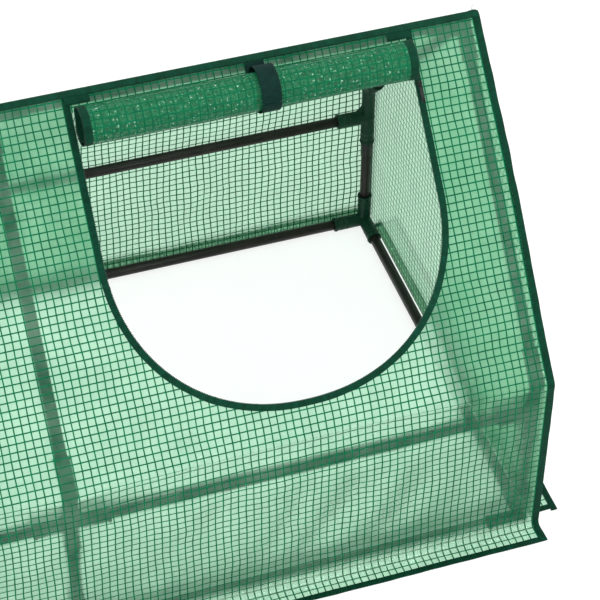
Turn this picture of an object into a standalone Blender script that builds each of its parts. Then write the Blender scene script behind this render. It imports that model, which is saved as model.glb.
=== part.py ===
"""Low two-bay greenhouse: push-fit tube frame, reinforced film cover, two U-shaped roll-up windows.

Frame: metres, +Z up, +X along the ridge, +Y towards the rear. The origin is on the ground, in the
middle of the frame. The front has the windows: the left one is closed, the right one is rolled up.
"""
from math import acos, atan2, cos, hypot, pi, sin, tan

import bmesh
import bpy
from mathutils import Matrix, Vector

# ---- driving dimensions (metres) ----
BAY = 0.885                 # pitch of the three arches, tube axis to tube axis
DEPTH = 0.910               # front to rear ground tube axes
WALL = 0.293                # ground tube axis to eave tube axis
RISE = 0.575                # eave tube axis to ridge tube axis
NECK = 0.072                # eave joint up to the bend where the connector turns to the slope
TUBE_R = 0.011              # 22 mm steel tube
TUBE_WALL = 0.0012
SLEEVE_R = 0.0145           # outside of a connector's sleeve
SLEEVE_LENGTH = 0.070       # joint centre to the mouth of a sleeve
LIP = 0.0013                # how far the mouth's rim stands proud
LIP_LENGTH = 0.005
HUB_R = 0.0151
NECK_R = 0.0139
SLEEVE_ROOT = 0.002         # a sleeve's solid starts this far from the joint centre
SLEEVE_STEP = 0.00015       # each further sleeve of a connector is this much thinner
TUBE_START = 0.030          # joint centre to the end of the tube inside the sleeve
BORE_START = 0.027
COLLAR_R = 0.0135           # black collar on a post, under the eave sleeve
COLLAR_LENGTH = 0.036
COLLAR_STEP = 0.001         # its upper ring stands this far proud
COLLAR_RING = 0.005         # and is this high
FILM = 0.0012               # thickness of the cover's solids
SKIRT = 0.043               # width of the ground flap along the front and the rear
SIDE_SKIRT = 0.056          # width of the ground flap along each gable
SIDE_SKIRT_INSET = 0.012    # its ends stand back from the corners
BINDING = 0.0125            # visible width of the edge binding
BINDING_THICK = 0.0024
STRAP_WIDTH = 0.036
STRAP_THICK = 0.0014
STRAP_LENGTH = 0.20
STRAP_MEET = 0.22           # angle past the roll's farthest side where the tails meet
STRAP_SLIT = 0.03           # angle left between their ends
STRAP_FACETS = 14
STRAP_FOOT = 0.001          # where the tails leave the seam: down the slope, and out or in from it
STRAP_RISE = 0.0034
STRAP_DOWN = 0.003          # the left outer tail starts this far below the seam
STRAP_AWAY = 0.026          # strap's centre from the window's centre, away from the middle arch
WINDOW_X = 0.515 * BAY      # window centre, from the middle arch
WINDOW_R = 0.3125           # half width, and depth of the round bottom
WINDOW_FULLNESS = 2.15      # exponent of the round bottom's superellipse; 2 would be a circle
WINDOW_TOP = 0.024          # along the slope, below the ridge
WINDOW_ROUND = 0.294        # where the straight legs end and the round bottom starts
FLAP_GAP = 0.0012
ROLL_R = 0.0395
ROLL_HALF = 0.3070
ROLL_S = 0.050              # along the slope, ridge to the roll's axis
ROLL_LIFT = 0.004           # between the slope and the roll
ROLL_TURN = 1.94 * pi       # how far round its outside goes from the strip it hangs by
ROLL_FACETS = 30
SLIDER_TOP_OPEN = 0.090     # slider places along the leg
SLIDER_TOP_SHUT = 0.060
SLIDER_LENGTH = 0.014
SLIDER_SHOULDER = 0.004     # from the slider's nose to its widest place
SLIDER_WIDE = 0.0045        # half widths
SLIDER_NARROW = 0.0030
SLIDER_HEIGHT = 0.0030
LUG_TOP = 0.0035            # the bridge that holds the pull: its ends along the slider
LUG_BOTTOM = 0.0110
LUG_HEIGHT = 0.0030
LUG_CHAMFER = 0.0020
PULL_LENGTH = 0.026         # pin to the centre of the round end
PULL_R = 0.0035
PULL_THICK = 0.0014
GAP = 0.0003                # between touching pieces
SIDES = 16                  # facets of round pieces
FOLD_STEPS = 6              # facets of the film's fold over the ridge

# ---- worked out from them ----
GROUND_Z = SLEEVE_R + LIP                           # the sleeves' rims stand on the ground
EAVE_Z = GROUND_Z + WALL
SHOULDER_Z = EAVE_Z + NECK
RIDGE_Z = EAVE_Z + RISE
HALF = DEPTH / 2
SLOPE = atan2(RISE - NECK, HALF)
SLOPE_LENGTH = hypot(RISE - NECK, HALF)             # shoulder to ridge, tube axis
OFFSET = SLEEVE_R + LIP + 2 * GAP + FILM / 2        # tube axis to the middle of the film
WALL_Y = HALF + OFFSET
SHOULDER_BEND = SLOPE_LENGTH + OFFSET * tan((pi / 2 - SLOPE) / 2)
SHOULDER_BEND_Z = RIDGE_Z + OFFSET * cos(SLOPE) - SHOULDER_BEND * sin(SLOPE)
GABLE_IN = BAY + SLEEVE_R + LIP + 2 * GAP           # inner face of the gable film
GABLE_OUT = GABLE_IN + FILM
SHEET_X = GABLE_IN - GAP
FLOOR_FILM = FILM / 2                               # middle of a film that lies on the ground
BEND_TRIM = FILM / 2                                # wall and slopes each stop this far from the bend

X, Y, Z = Vector((1, 0, 0)), Vector((0, 1, 0)), Vector((0, 0, 1))
DOWN_FRONT = Vector((0, -cos(SLOPE), -sin(SLOPE)))
DOWN_REAR = Vector((0, cos(SLOPE), -sin(SLOPE)))

PALETTE = {
    "tube": ((0.020, 0.017, 0.015, 1.0), 0.45, 0.6),
    "connector": ((0.008, 0.045, 0.030, 1.0), 0.5, 0.0),
    "film": ((0.20, 0.62, 0.40, 0.5), 0.25, 0.0),
    "binding": ((0.004, 0.085, 0.045, 1.0), 0.8, 0.0),
    "strap": ((0.006, 0.045, 0.042, 1.0), 0.8, 0.0),
    "zip": ((0.010, 0.014, 0.013, 1.0), 0.4, 0.3),
}


def clear_scene():
    for old in list(bpy.data.objects):
        bpy.data.objects.remove(old, do_unlink=True)


def make_materials():
    made = {}
    for name, (colour, roughness, metallic) in PALETTE.items():
        material = bpy.data.materials.new(name)
        material.use_nodes = True
        shader = material.node_tree.nodes["Principled BSDF"]
        shader.inputs["Base Color"].default_value = colour
        shader.inputs["Roughness"].default_value = roughness
        shader.inputs["Metallic"].default_value = metallic
        shader.inputs["Alpha"].default_value = colour[3]
        made[name] = material
    return made


def mesh_from(bm, name, smooth=False):
    bmesh.ops.recalc_face_normals(bm, faces=bm.faces)
    mesh = bpy.data.meshes.new(name)
    bm.to_mesh(mesh)
    bm.free()
    if smooth:
        mesh.shade_smooth()
        mesh.set_sharp_from_angle(angle=0.7)
    return mesh


def place(name, mesh, slot, at=(0, 0, 0), turn=None):
    """An object with its origin at `at`, turned by a quaternion, with its own copy of a material."""
    made = bpy.data.objects.new(name, mesh)
    bpy.context.scene.collection.objects.link(made)
    made.location = at
    if turn is not None:
        made.rotation_mode = "QUATERNION"
        made.rotation_quaternion = turn
    if not mesh.materials:
        mesh.materials.append(MATERIALS[slot])
    return made


# ---- shapes ----
def turned(profile, sides=SIDES):
    """Revolve (radius, height) points about Z. A profile that ends on the axis closes there."""
    bm = bmesh.new()
    solid = profile[0][0] == 0
    rings = []
    for radius, height in profile:
        if radius == 0:
            rings.append([bm.verts.new((0, 0, height))])
            continue
        angles = [2 * pi * i / sides for i in range(sides)]
        rings.append([bm.verts.new((radius * cos(a), radius * sin(a), height)) for a in angles])
    pairs = list(zip(rings, rings[1:]))
    if not solid:
        pairs.append((rings[-1], rings[0]))
    for low, high in pairs:
        for i in range(sides):
            j = (i + 1) % sides
            corners = [low[i % len(low)], low[j % len(low)], high[j % len(high)], high[i % len(high)]]
            unique = [v for k, v in enumerate(corners) if v not in corners[:k]]
            bm.faces.new(unique)
    return bm


def prism(outline, axis, start, end):
    """Extrude a closed outline of 3-D points, given at axis value 0, from start to end."""
    bm = bmesh.new()
    low = [bm.verts.new(Vector(p) + axis * start) for p in outline]
    high = [bm.verts.new(Vector(p) + axis * end) for p in outline]
    bm.faces.new(low)
    bm.faces.new(high)
    count = len(outline)
    for i in range(count):
        j = (i + 1) % count
        bm.faces.new([low[i], low[j], high[j], high[i]])
    bmesh.ops.triangulate(bm, faces=bm.faces)
    return bm


def strip(left, right, axis, start, end):
    """A closed band between two matching rows of 3-D points, extruded along an axis."""
    bm = bmesh.new()
    near_left, far_left = ([bm.verts.new(Vector(p) + axis * at) for p in left] for at in (start, end))
    near_right, far_right = ([bm.verts.new(Vector(p) + axis * at) for p in right] for at in (start, end))
    around = [(near_left, near_right), (near_right, far_right), (far_right, far_left), (far_left, near_left)]
    for i in range(len(left) - 1):
        for row, beside in around:
            bm.faces.new([row[i], row[i + 1], beside[i + 1], beside[i]])
    for i in (0, -1):
        bm.faces.new([near_left[i], near_right[i], far_right[i], far_left[i]])
    bmesh.ops.triangulate(bm, faces=bm.faces)
    return bm


def side_points(path, distance):
    """A (y, z) path moved sideways to its left by a distance, with mitred corners."""
    points = [Vector(p) for p in path]
    moved = []
    for i, point in enumerate(points):
        ways = []
        if i > 0:
            ways.append((point - points[i - 1]).normalized())
        if i < len(points) - 1:
            ways.append((points[i + 1] - point).normalized())
        normals = [Vector((-w.y, w.x)) for w in ways]
        middle = sum(normals, Vector((0, 0))).normalized()
        moved.append(point + middle * distance / middle.dot(normals[0]))
    return moved


def band(path, thickness, x0, x1):
    """A strip of even thickness along a (y, z) path, from x0 to x1."""
    left = [(0, p.x, p.y) for p in side_points(path, thickness / 2)]
    right = [(0, p.x, p.y) for p in side_points(path, -thickness / 2)]
    return strip(left, right, X, x0, x1)


def arc(centre, radius, start, end, steps):
    return [(centre[0] + radius * cos(start + (end - start) * i / steps),
             centre[1] + radius * sin(start + (end - start) * i / steps)) for i in range(steps + 1)]


def u_outline(radius, top, steps=20):
    """A U in the slope's own plane, from its top left corner round the bottom: (x, up-slope)."""
    power = 2 / WINDOW_FULLNESS
    bottom = []
    for i in range(steps + 1):
        across, down = cos(pi * i / steps), sin(pi * i / steps)
        side = -1 if across > 0 else 1
        bottom.append((side * radius * abs(across) ** power, -WINDOW_ROUND - radius * down ** power))
    return [(-radius, -top)] + bottom + [(radius, -top)]


def boolean(base, other, operation):
    """Join or cut two bmeshes with an exact Boolean and return the result as a mesh."""
    first = place("boolean_base", mesh_from(base, "base"), "tube")
    second = place("boolean_tool", mesh_from(other, "tool"), "tube")
    modifier = first.modifiers.new("cut", "BOOLEAN")
    modifier.operation = operation
    modifier.solver = "EXACT"
    modifier.object = second
    graph = bpy.context.evaluated_depsgraph_get()
    graph.update()
    result = bmesh.new()
    result.from_mesh(first.evaluated_get(graph).to_mesh())
    for item in (first, second):
        bpy.data.objects.remove(item, do_unlink=True)
    bmesh.ops.remove_doubles(result, verts=result.verts, dist=1e-6)
    bmesh.ops.dissolve_degenerate(result, edges=result.edges, dist=1e-6)
    return result


# ---- frame ----
def tube_mesh(name, length):
    inner = TUBE_R - TUBE_WALL
    return mesh_from(turned([(inner, 0), (TUBE_R, 0), (TUBE_R, length), (inner, length)]), name, True)


def post_mesh(name, length):
    """A tube with the collar that sits just under the eave connector's lower sleeve."""
    inner = TUBE_R - TUBE_WALL
    top = length + TUBE_START - SLEEVE_LENGTH - GAP
    low = top - COLLAR_LENGTH
    waist = COLLAR_R - COLLAR_STEP
    profile = [(inner, 0), (TUBE_R, 0), (TUBE_R, low), (waist, low + COLLAR_STEP),
               (waist, top - COLLAR_RING - COLLAR_STEP), (COLLAR_R, top - COLLAR_RING), (COLLAR_R, top),
               (TUBE_R, top), (TUBE_R, length), (inner, length)]
    return mesh_from(turned(profile), name, True)


def add_tube(name, start, end, make=tube_mesh):
    """A tube between two joint centres, standing back inside both sleeves."""
    start, end = Vector(start), Vector(end)
    way = (end - start).normalized()
    length = (end - start).length - 2 * TUBE_START
    turn = Z.rotation_difference(way)
    place(name, make(name, length), "tube", start + way * TUBE_START, turn)


def sleeve(way, radius):
    """One blind sleeve with a rim at its mouth, from the joint centre along a direction."""
    bore = TUBE_R + GAP
    mouth = SLEEVE_LENGTH
    profile = [(0, SLEEVE_ROOT), (radius, SLEEVE_ROOT), (radius, mouth - LIP_LENGTH),
               (radius + LIP, mouth - LIP_LENGTH + LIP), (radius + LIP, mouth), (bore, mouth),
               (bore, BORE_START), (0, BORE_START)]
    bm = turned(profile)
    bmesh.ops.transform(bm, matrix=Z.rotation_difference(way).to_matrix().to_4x4(), verts=bm.verts)
    return bm


def hub():
    body = bmesh.new()
    turn = Matrix.Rotation(pi / SIDES / 2, 4, "X")
    bmesh.ops.create_uvsphere(body, u_segments=SIDES, v_segments=8, radius=HUB_R, matrix=turn)
    return body


def joint(ways):
    """Sleeves joined at a round hub. Their radii differ a little, so no two faces coincide."""
    body = hub()
    for i, way in enumerate(ways):
        body = boolean(body, sleeve(way, SLEEVE_R - SLEEVE_STEP * i), "UNION")
    return body


def add_connector(name, centre, ways, slope_way=None):
    """A moulded joint. One with a slope_way has a neck up to a bend and a sleeve along that way."""
    body = joint(ways)
    if slope_way:
        neck = turned([(0, SLEEVE_ROOT), (NECK_R, SLEEVE_ROOT), (NECK_R, NECK), (0, NECK)])
        body = boolean(body, neck, "UNION")
        bend = joint([slope_way])
        bmesh.ops.translate(bend, vec=Z * NECK, verts=bend.verts)
        body = boolean(body, bend, "UNION")
    place(name, mesh_from(body, name, True), "connector", centre)


def add_frame():
    arches = {"left": -BAY, "mid": 0.0, "right": BAY}
    sides = {"front": (-1, DOWN_FRONT), "rear": (1, DOWN_REAR)}
    for arch, x in arches.items():
        along = {"left": [X], "mid": [-X, X], "right": [-X]}[arch]
        for side, (sign, down) in sides.items():
            foot, eave = (x, sign * HALF, GROUND_Z), (x, sign * HALF, EAVE_Z)
            across = [] if arch == "mid" else [-sign * Y]
            add_tube(f"post_{side}_{arch}", foot, eave, post_mesh)
            add_tube(f"rafter_{side}_{arch}", (x, sign * HALF, SHOULDER_Z), (x, 0, RIDGE_Z))
            add_connector(f"ground_connector_{side}_{arch}", foot, along + across + [Z])
            add_connector(f"eave_connector_{side}_{arch}", eave, along + [-Z], -down)
        add_connector(f"ridge_connector_{arch}", (x, 0, RIDGE_Z), along + [DOWN_FRONT, DOWN_REAR])
        if arch != "mid":
            add_tube(f"ground_side_{arch}", (x, -HALF, GROUND_Z), (x, HALF, GROUND_Z))
    for bay, x0, x1 in (("left", -BAY, 0), ("right", 0, BAY)):
        for side, (sign, _) in sides.items():
            y = sign * HALF
            add_tube(f"ground_{side}_{bay}", (x0, y, GROUND_Z), (x1, y, GROUND_Z))
            add_tube(f"eave_{side}_{bay}", (x0, y, EAVE_Z), (x1, y, EAVE_Z))
        add_tube(f"ridge_{bay}", (x0, 0, RIDGE_Z), (x1, 0, RIDGE_Z))


# ---- cover ----
def sheet_profile(sign):
    """Middle of the film in (y, z): skirt edge, ground corner, shoulder bend, foot of the ridge curve."""
    top = (sign * OFFSET * sin(SLOPE), RIDGE_Z + OFFSET * cos(SLOPE))
    return [(sign * (WALL_Y + SKIRT), FLOOR_FILM), (sign * WALL_Y, FLOOR_FILM),
            (sign * WALL_Y, SHOULDER_BEND_Z), top]


def ridge_curve():
    """The film's round fold over the ridge tube, from the rear slope to the front one."""
    return arc((0, RIDGE_Z), OFFSET, pi / 2 - SLOPE, pi / 2 + SLOPE, FOLD_STEPS)


def slope_place(s, h=0.0):
    """A point of the front slope: s down from the ridge, h out from the middle of the film."""
    out = OFFSET + h
    return Vector((0, -s * cos(SLOPE) - out * sin(SLOPE), RIDGE_Z - s * sin(SLOPE) + out * cos(SLOPE)))


SLOPE_TURN = Matrix.Rotation(SLOPE, 3, "X").to_quaternion()


def flat_plate(outline, low, high):
    return prism([(x, y, 0) for x, y in outline], Z, low, high)


def add_front_sheets():
    wall = sheet_profile(-1)[:3]
    wall[2] = (wall[2][0], wall[2][1] - BEND_TRIM)
    place("front_wall", mesh_from(band(wall, FILM, -SHEET_X, SHEET_X), "front_wall"), "film")
    for bay, sign in (("left", -1), ("right", 1)):
        x0, x1 = sorted((sign * GAP, sign * SHEET_X))
        bottom = BEND_TRIM - SHOULDER_BEND
        plate = flat_plate([(x0, bottom), (x1, bottom), (x1, -GAP), (x0, -GAP)], -FILM / 2, FILM / 2)
        window = [(x + sign * WINDOW_X, y) for x, y in u_outline(WINDOW_R, WINDOW_TOP)]
        cut = boolean(plate, flat_plate(window, -2 * FILM, 2 * FILM), "DIFFERENCE")
        place(f"front_slope_{bay}", mesh_from(cut, f"front_slope_{bay}"), "film", slope_place(0), SLOPE_TURN)


def add_rear_sheet():
    path = sheet_profile(1)[:3] + ridge_curve()
    place("rear_sheet", mesh_from(band(path, FILM, -SHEET_X, SHEET_X), "rear_sheet"), "film")


def gable_outline():
    rear = side_points(sheet_profile(1)[1:], -FILM / 2)
    rear[0].y = GAP
    front = [Vector((-p.x, p.y)) for p in rear[::-1]]
    start, end = pi / 2 - SLOPE, pi / 2 + SLOPE
    crown = [Vector(p) for p in arc((0, RIDGE_Z), OFFSET + FILM / 2, start, end, FOLD_STEPS)]
    return rear[:-1] + crown + front[1:]


def add_gables():
    for side, sign in (("left", -1), ("right", 1)):
        outline = [(0, p.x, p.y) for p in gable_outline()]
        plate = prism(outline, X * sign, GABLE_IN, GABLE_OUT)
        edge = HALF - SIDE_SKIRT_INSET
        floor = [(-edge, 0), (edge, 0), (edge, FILM + GAP), (-edge, FILM + GAP)]
        flap = prism([(0, y, z) for y, z in floor], X * sign, GABLE_IN + FILM / 2, GABLE_OUT + SIDE_SKIRT)
        joined = boolean(plate, flap, "UNION")
        place(f"gable_{side}", mesh_from(joined, f"gable_{side}"), "film")


def add_bindings():
    """Bound seams: one along the front of the ridge fold, one round each gable's edge."""
    radius = OFFSET + FILM / 2 + GAP + BINDING_THICK / 2
    path = arc((0, RIDGE_Z), radius, pi / 2, pi / 2 + BINDING / radius, 4)
    edging = band(path, BINDING_THICK, -SHEET_X, SHEET_X)
    place("binding_ridge", mesh_from(edging, "binding_ridge"), "binding")
    lift = BINDING_THICK / 2 - FLOOR_FILM
    rear = [Vector(p) for p in sheet_profile(1)]
    rear[0] += Vector((0, lift))
    rear[1] += Vector((0, lift))
    path = [(p.x, p.y) for p in rear[:3]] + ridge_curve() + [(-p.x, p.y) for p in rear[2::-1]]
    for side, sign in (("left", -1), ("right", 1)):
        x0, x1 = sorted((sign * (GABLE_OUT + GAP), sign * (GABLE_OUT + GAP + BINDING)))
        edging = band(path, BINDING_THICK, x0, x1)
        place(f"binding_gable_{side}", mesh_from(edging, f"binding_gable_{side}"), "binding")


# ---- windows ----
def add_window_binding(bay, sign):
    """Binding with its half of the zip, on the film's outer face round the opening."""
    inner = [(x, y, 0) for x, y in u_outline(WINDOW_R, WINDOW_TOP)]
    outer = [(x, y, 0) for x, y in u_outline(WINDOW_R + BINDING, WINDOW_TOP)]
    low = FILM / 2 + GAP
    edging = strip(inner, outer, Z, low, low + BINDING_THICK)
    at = slope_place(0) + X * sign * WINDOW_X
    place(f"binding_window_{bay}", mesh_from(edging, f"binding_window_{bay}"), "binding", at, SLOPE_TURN)


def add_closed_flap():
    """The left window's flap, zipped shut. Its origin is on the seam it swings about."""
    hinge = WINDOW_TOP + FLAP_GAP
    outline = [(x, y + hinge) for x, y in u_outline(WINDOW_R - FLAP_GAP, hinge)]
    at = slope_place(hinge) - X * WINDOW_X
    plate = flat_plate(outline, -FILM / 2, FILM / 2)
    place("window_flap_left", mesh_from(plate, "window_flap_left"), "film", at, SLOPE_TURN)


def roll_centre():
    """The roll's axis in the seam's own frame: (up-slope, outward)."""
    return Vector((WINDOW_TOP + FLAP_GAP - ROLL_S, ROLL_R + ROLL_LIFT))


def touch_angle(point, centre, radius, side):
    """Angle about the centre where a line from the point touches the circle, on the given side."""
    towards = point - centre
    return atan2(towards.y, towards.x) + side * acos(radius / towards.length)


def add_roll():
    """The right window's flap, rolled up, with the strip it hangs by. Origin on the same seam."""
    centre, seam = roll_centre(), Vector((0, 0))
    touch = touch_angle(seam, centre, ROLL_R - FILM / 2, -1)
    way = (Vector(arc(centre, ROLL_R - FILM / 2, touch, touch, 1)[0]) - seam).normalized()
    side = Vector((-way.y, way.x)) * FILM / 2
    round_part = arc(centre, ROLL_R, touch, touch - ROLL_TURN, ROLL_FACETS)
    outline = [seam + side, *round_part, seam - side]
    solid = prism([(0, p[0], p[1]) for p in outline], X, -ROLL_HALF, ROLL_HALF)
    at = slope_place(WINDOW_TOP + FLAP_GAP) + X * WINDOW_X
    place("window_roll_right", mesh_from(solid, "window_roll_right", True), "film", at, SLOPE_TURN)


def add_strap(name, path, at, turn=None):
    solid = band(path, STRAP_THICK, -STRAP_WIDTH / 2, STRAP_WIDTH / 2)
    place(name, mesh_from(solid, name), "strap", at, turn)


def add_straps():
    """One ribbon per window, sewn in at the seam, with an outer and an inner tail.

    The right one is closed round the roll. Its tails meet just past the point that is farthest from
    the seam, so the outer one swings away about the seam without cutting into the roll.
    """
    seam_s = WINDOW_TOP + FLAP_GAP
    centre = roll_centre()
    wrap = ROLL_R + STRAP_THICK / 2 + 3 * GAP
    meet = atan2(centre.y, centre.x) + STRAP_MEET
    strap_x = WINDOW_X + STRAP_AWAY
    at = slope_place(seam_s) + X * strap_x
    foot = Vector((-STRAP_FOOT, STRAP_RISE))
    outer = arc(centre, wrap, touch_angle(foot, centre, wrap, 1), meet, STRAP_FACETS)
    add_strap("roll_strap_right", [foot, *outer], at, SLOPE_TURN)
    foot = Vector((-STRAP_FOOT, -STRAP_RISE))
    start = 2 * pi + touch_angle(foot, centre, wrap, -1)
    inner = arc(centre, wrap, start, meet + STRAP_SLIT, STRAP_FACETS)
    add_strap("roll_strap_inner_right", [foot, *inner], at, SLOPE_TURN)

    at = slope_place(seam_s, FILM / 2 + STRAP_THICK / 2 + 2 * GAP) - X * strap_x
    add_strap("roll_strap_left", [(-STRAP_DOWN, 0), (-STRAP_LENGTH, 0)], at, SLOPE_TURN)
    at = slope_place(seam_s, -STRAP_RISE) - X * strap_x
    add_strap("roll_strap_inner_left", [(0, -STRAP_FOOT), (0, -STRAP_LENGTH)], at)


def add_zip(bay, sign, top):
    """Slider and pull tab on the window binding's outer leg. The tab's origin is on its pin."""
    x = sign * (WINDOW_X + WINDOW_R + BINDING / 2)
    low = FILM / 2 + BINDING_THICK + 2 * GAP
    half = [(SLIDER_NARROW, 0), (SLIDER_WIDE, -SLIDER_SHOULDER), (SLIDER_NARROW, -SLIDER_LENGTH)]
    shell = half + [(-x, y) for x, y in half[::-1]]
    body = flat_plate(shell, 0, SLIDER_HEIGHT)
    bridge = [(-LUG_TOP, -LUG_CHAMFER), (-LUG_BOTTOM, -LUG_CHAMFER), (-LUG_BOTTOM, LUG_HEIGHT - LUG_CHAMFER),
              (-LUG_BOTTOM + LUG_CHAMFER, LUG_HEIGHT), (-LUG_TOP - LUG_CHAMFER, LUG_HEIGHT),
              (-LUG_TOP, LUG_HEIGHT - LUG_CHAMFER)]
    lug = prism([(0, y, SLIDER_HEIGHT + z) for y, z in bridge], X, -PULL_THICK, PULL_THICK)
    joined = boolean(body, lug, "UNION")
    at = slope_place(top, low) + X * x
    place(f"zip_slider_{bay}", mesh_from(joined, f"zip_slider_{bay}"), "zip", at, SLOPE_TURN)

    end = arc((0, -PULL_LENGTH), PULL_R, pi, 2 * pi, 8)
    tab = flat_plate([(-SLIDER_NARROW, 0), *end, (SLIDER_NARROW, 0)], -PULL_THICK / 2, PULL_THICK / 2)
    pin = slope_place(top + LUG_BOTTOM + 3 * GAP, low + SLIDER_HEIGHT + PULL_THICK / 2 + 2 * GAP) + X * x
    place(f"zip_pull_{bay}", mesh_from(tab, f"zip_pull_{bay}"), "zip", pin, SLOPE_TURN)


def add_windows():
    for bay, sign in (("left", -1), ("right", 1)):
        add_window_binding(bay, sign)
    add_closed_flap()
    add_roll()
    add_straps()
    add_zip("left", -1, SLIDER_TOP_SHUT)
    add_zip("right", 1, SLIDER_TOP_OPEN)


clear_scene()
MATERIALS = make_materials()
add_frame()
add_front_sheets()
add_rear_sheet()
add_gables()
add_bindings()
add_windows()
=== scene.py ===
from math import acos, atan2, ceil, cos, exp, hypot, pi, sin, sqrt

import bmesh
import bpy
from mathutils import Matrix, Vector, geometry, noise


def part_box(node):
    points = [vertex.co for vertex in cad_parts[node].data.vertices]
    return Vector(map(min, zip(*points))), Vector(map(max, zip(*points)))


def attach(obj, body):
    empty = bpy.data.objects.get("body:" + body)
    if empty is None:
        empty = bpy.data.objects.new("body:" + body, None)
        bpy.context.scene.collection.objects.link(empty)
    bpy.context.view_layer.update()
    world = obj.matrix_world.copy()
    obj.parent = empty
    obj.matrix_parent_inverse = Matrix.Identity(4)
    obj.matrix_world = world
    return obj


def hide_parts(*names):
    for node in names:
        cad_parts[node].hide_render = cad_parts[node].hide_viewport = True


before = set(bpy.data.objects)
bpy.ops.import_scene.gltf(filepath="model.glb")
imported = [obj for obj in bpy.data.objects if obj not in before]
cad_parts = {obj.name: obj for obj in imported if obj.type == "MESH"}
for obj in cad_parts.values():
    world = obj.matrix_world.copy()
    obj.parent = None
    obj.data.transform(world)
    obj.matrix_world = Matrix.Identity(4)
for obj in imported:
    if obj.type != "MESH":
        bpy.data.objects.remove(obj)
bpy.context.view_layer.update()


def box(node):
    low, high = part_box(node)
    return Vector(low), Vector(high)


def middle(node):
    low, high = box(node)
    return (low + high) / 2


# ---- sizes of the frame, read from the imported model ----
BAY = middle("post_front_right").x
HALF = -middle("eave_front_right").y
GROUND_Z = middle("ground_front_right").z
EAVE_Z = middle("eave_front_right").z
RIDGE_Z = middle("ridge_right").z
TUBE_R = (box("ridge_right")[1].z - box("ridge_right")[0].z) / 2
TUBE_START = box("ridge_right")[0].x  # joint centre to the tube's end inside a sleeve
NECK = 0.072  # eave joint up to the connector's bend
NECK_R = 0.0141
SLEEVE = 0.070  # joint centre to a sleeve's mouth
ROOT = 0.002  # where a sleeve starts inside its hub
HUB_R = 0.0151
MOULDED_SIDES = 32
SHOULDER_Z = EAVE_Z + NECK
SLOPE = atan2(RIDGE_Z - SHOULDER_Z, HALF)
SLOPE_LENGTH = hypot(RIDGE_Z - SHOULDER_Z, HALF)
CAD_FILM = 0.0012  # thickness of the CAD's film solids
WALL_Y = -box("front_wall")[1].y + CAD_FILM / 2
OFFSET = WALL_Y - HALF  # tube axis to the middle of the film
SHEET_X = box("front_wall")[1].x
GABLE_X = box("gable_right")[0].x + CAD_FILM / 2
SKIRT = -box("front_wall")[0].y - WALL_Y
SIDE_SKIRT = box("gable_right")[1].x - GABLE_X
SIDE_SKIRT_Y = HALF - 0.012  # half length of the gable's skirt

# ---- sizes of the cover ----
BINDING = 0.0125  # visible width of the folded edge tape
HEM = 0.0135  # and of the one along the skirts
ROLLED_BINDING = 0.0150  # a crumpled one covers more
TAPE_THICK = 0.0024
SEAM_LINE = 0.26  # the stitches, as a share of the tape's width
GROOVE = 0.0011  # the dent they pull into it
HEM_THICK = 0.0026
HEM_SET = 0.0085  # from a skirt's edge to the middle of its hem
HEM_WAVE = 0.0012  # how much a hem or a gable's edge wanders
FLOOR = 0.0007  # middle of a film that lies on the ground
LOWEST = 0.0003  # nothing comes closer to the ground
BEND = 0.011  # radius of the film's bend onto the ground
PITCH = BAY / 61  # reinforcing grid
THREAD_WIDTH = 0.0025
THREAD_THICK = 0.0007
WINDOW_X = middle("binding_window_right").x
WINDOW_R = (box("binding_window_right")[1].x - box("binding_window_right")[0].x) / 2 - BINDING
WINDOW_FULLNESS = 2.15  # exponent of the round bottom's superellipse
WINDOW_TOP = 0.024  # along the slope, below the ridge
WINDOW_ROUND = 0.294  # where the straight legs end
FLAP_GAP = 0.0012
FLAP_R = WINDOW_R - FLAP_GAP
HINGE = WINDOW_TOP + FLAP_GAP
FLAP_LENGTH = WINDOW_ROUND + FLAP_R - HINGE
ROLL_R = 0.0388  # middle of the film on the roll's outer turn
ROLL_CORE = 0.012
ROLL_S = 0.050  # along the slope, ridge to the roll's axis
ROLL_HEIGHT = 0.0435  # the roll's axis above the film
ROLL_GATHER = 0.985  # the rolled flap is a little narrower than the flat one
ROLL_SHIFT = -0.004  # and was rolled up slightly off centre
ROLL_CENTRE = Vector((HINGE - ROLL_S, ROLL_HEIGHT))
ROLL_TAIL = sqrt(ROLL_CENTRE.length_squared - ROLL_R ** 2)  # straight film, seam to roll
ROLL_WAY = atan2(ROLL_CENTRE.y, ROLL_CENTRE.x) + acos(ROLL_TAIL / ROLL_CENTRE.length)
ROLL_CLOSING = (ROLL_R ** 2 - ROLL_CORE ** 2) / (2 * (FLAP_LENGTH - ROLL_TAIL))
STRAP_X = middle("roll_strap_right").x
STRAP_WIDTH = 0.036
STRAP_THICK = 0.0012
STRAP_LENGTH = 0.20
ZIP_PITCH = 0.0032
TOOTH = 0.0012  # half length of a zip tooth
FINE = 0.0045  # spacing of points round a window's edge
EDGE_STEP = 0.005  # and along the other tapes
HEM_STEP = 0.006
SEED = 7

# ---- the cover's cross-section, as distances from the top of the ridge fold ----
V_SLOPE = OFFSET * SLOPE  # the flat slope starts
V_BOW = V_SLOPE + SLOPE_LENGTH  # it ends
V_WALL = V_BOW + OFFSET * (pi / 2 - SLOPE)  # the upright wall starts
V_BEND = V_WALL + SHOULDER_Z - BEND - FLOOR  # it bends out onto the ground
V_FLAT = V_BEND + BEND * pi / 2  # the skirt lies flat
V_EDGE = V_FLAT + SKIRT - BEND  # and ends

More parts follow.
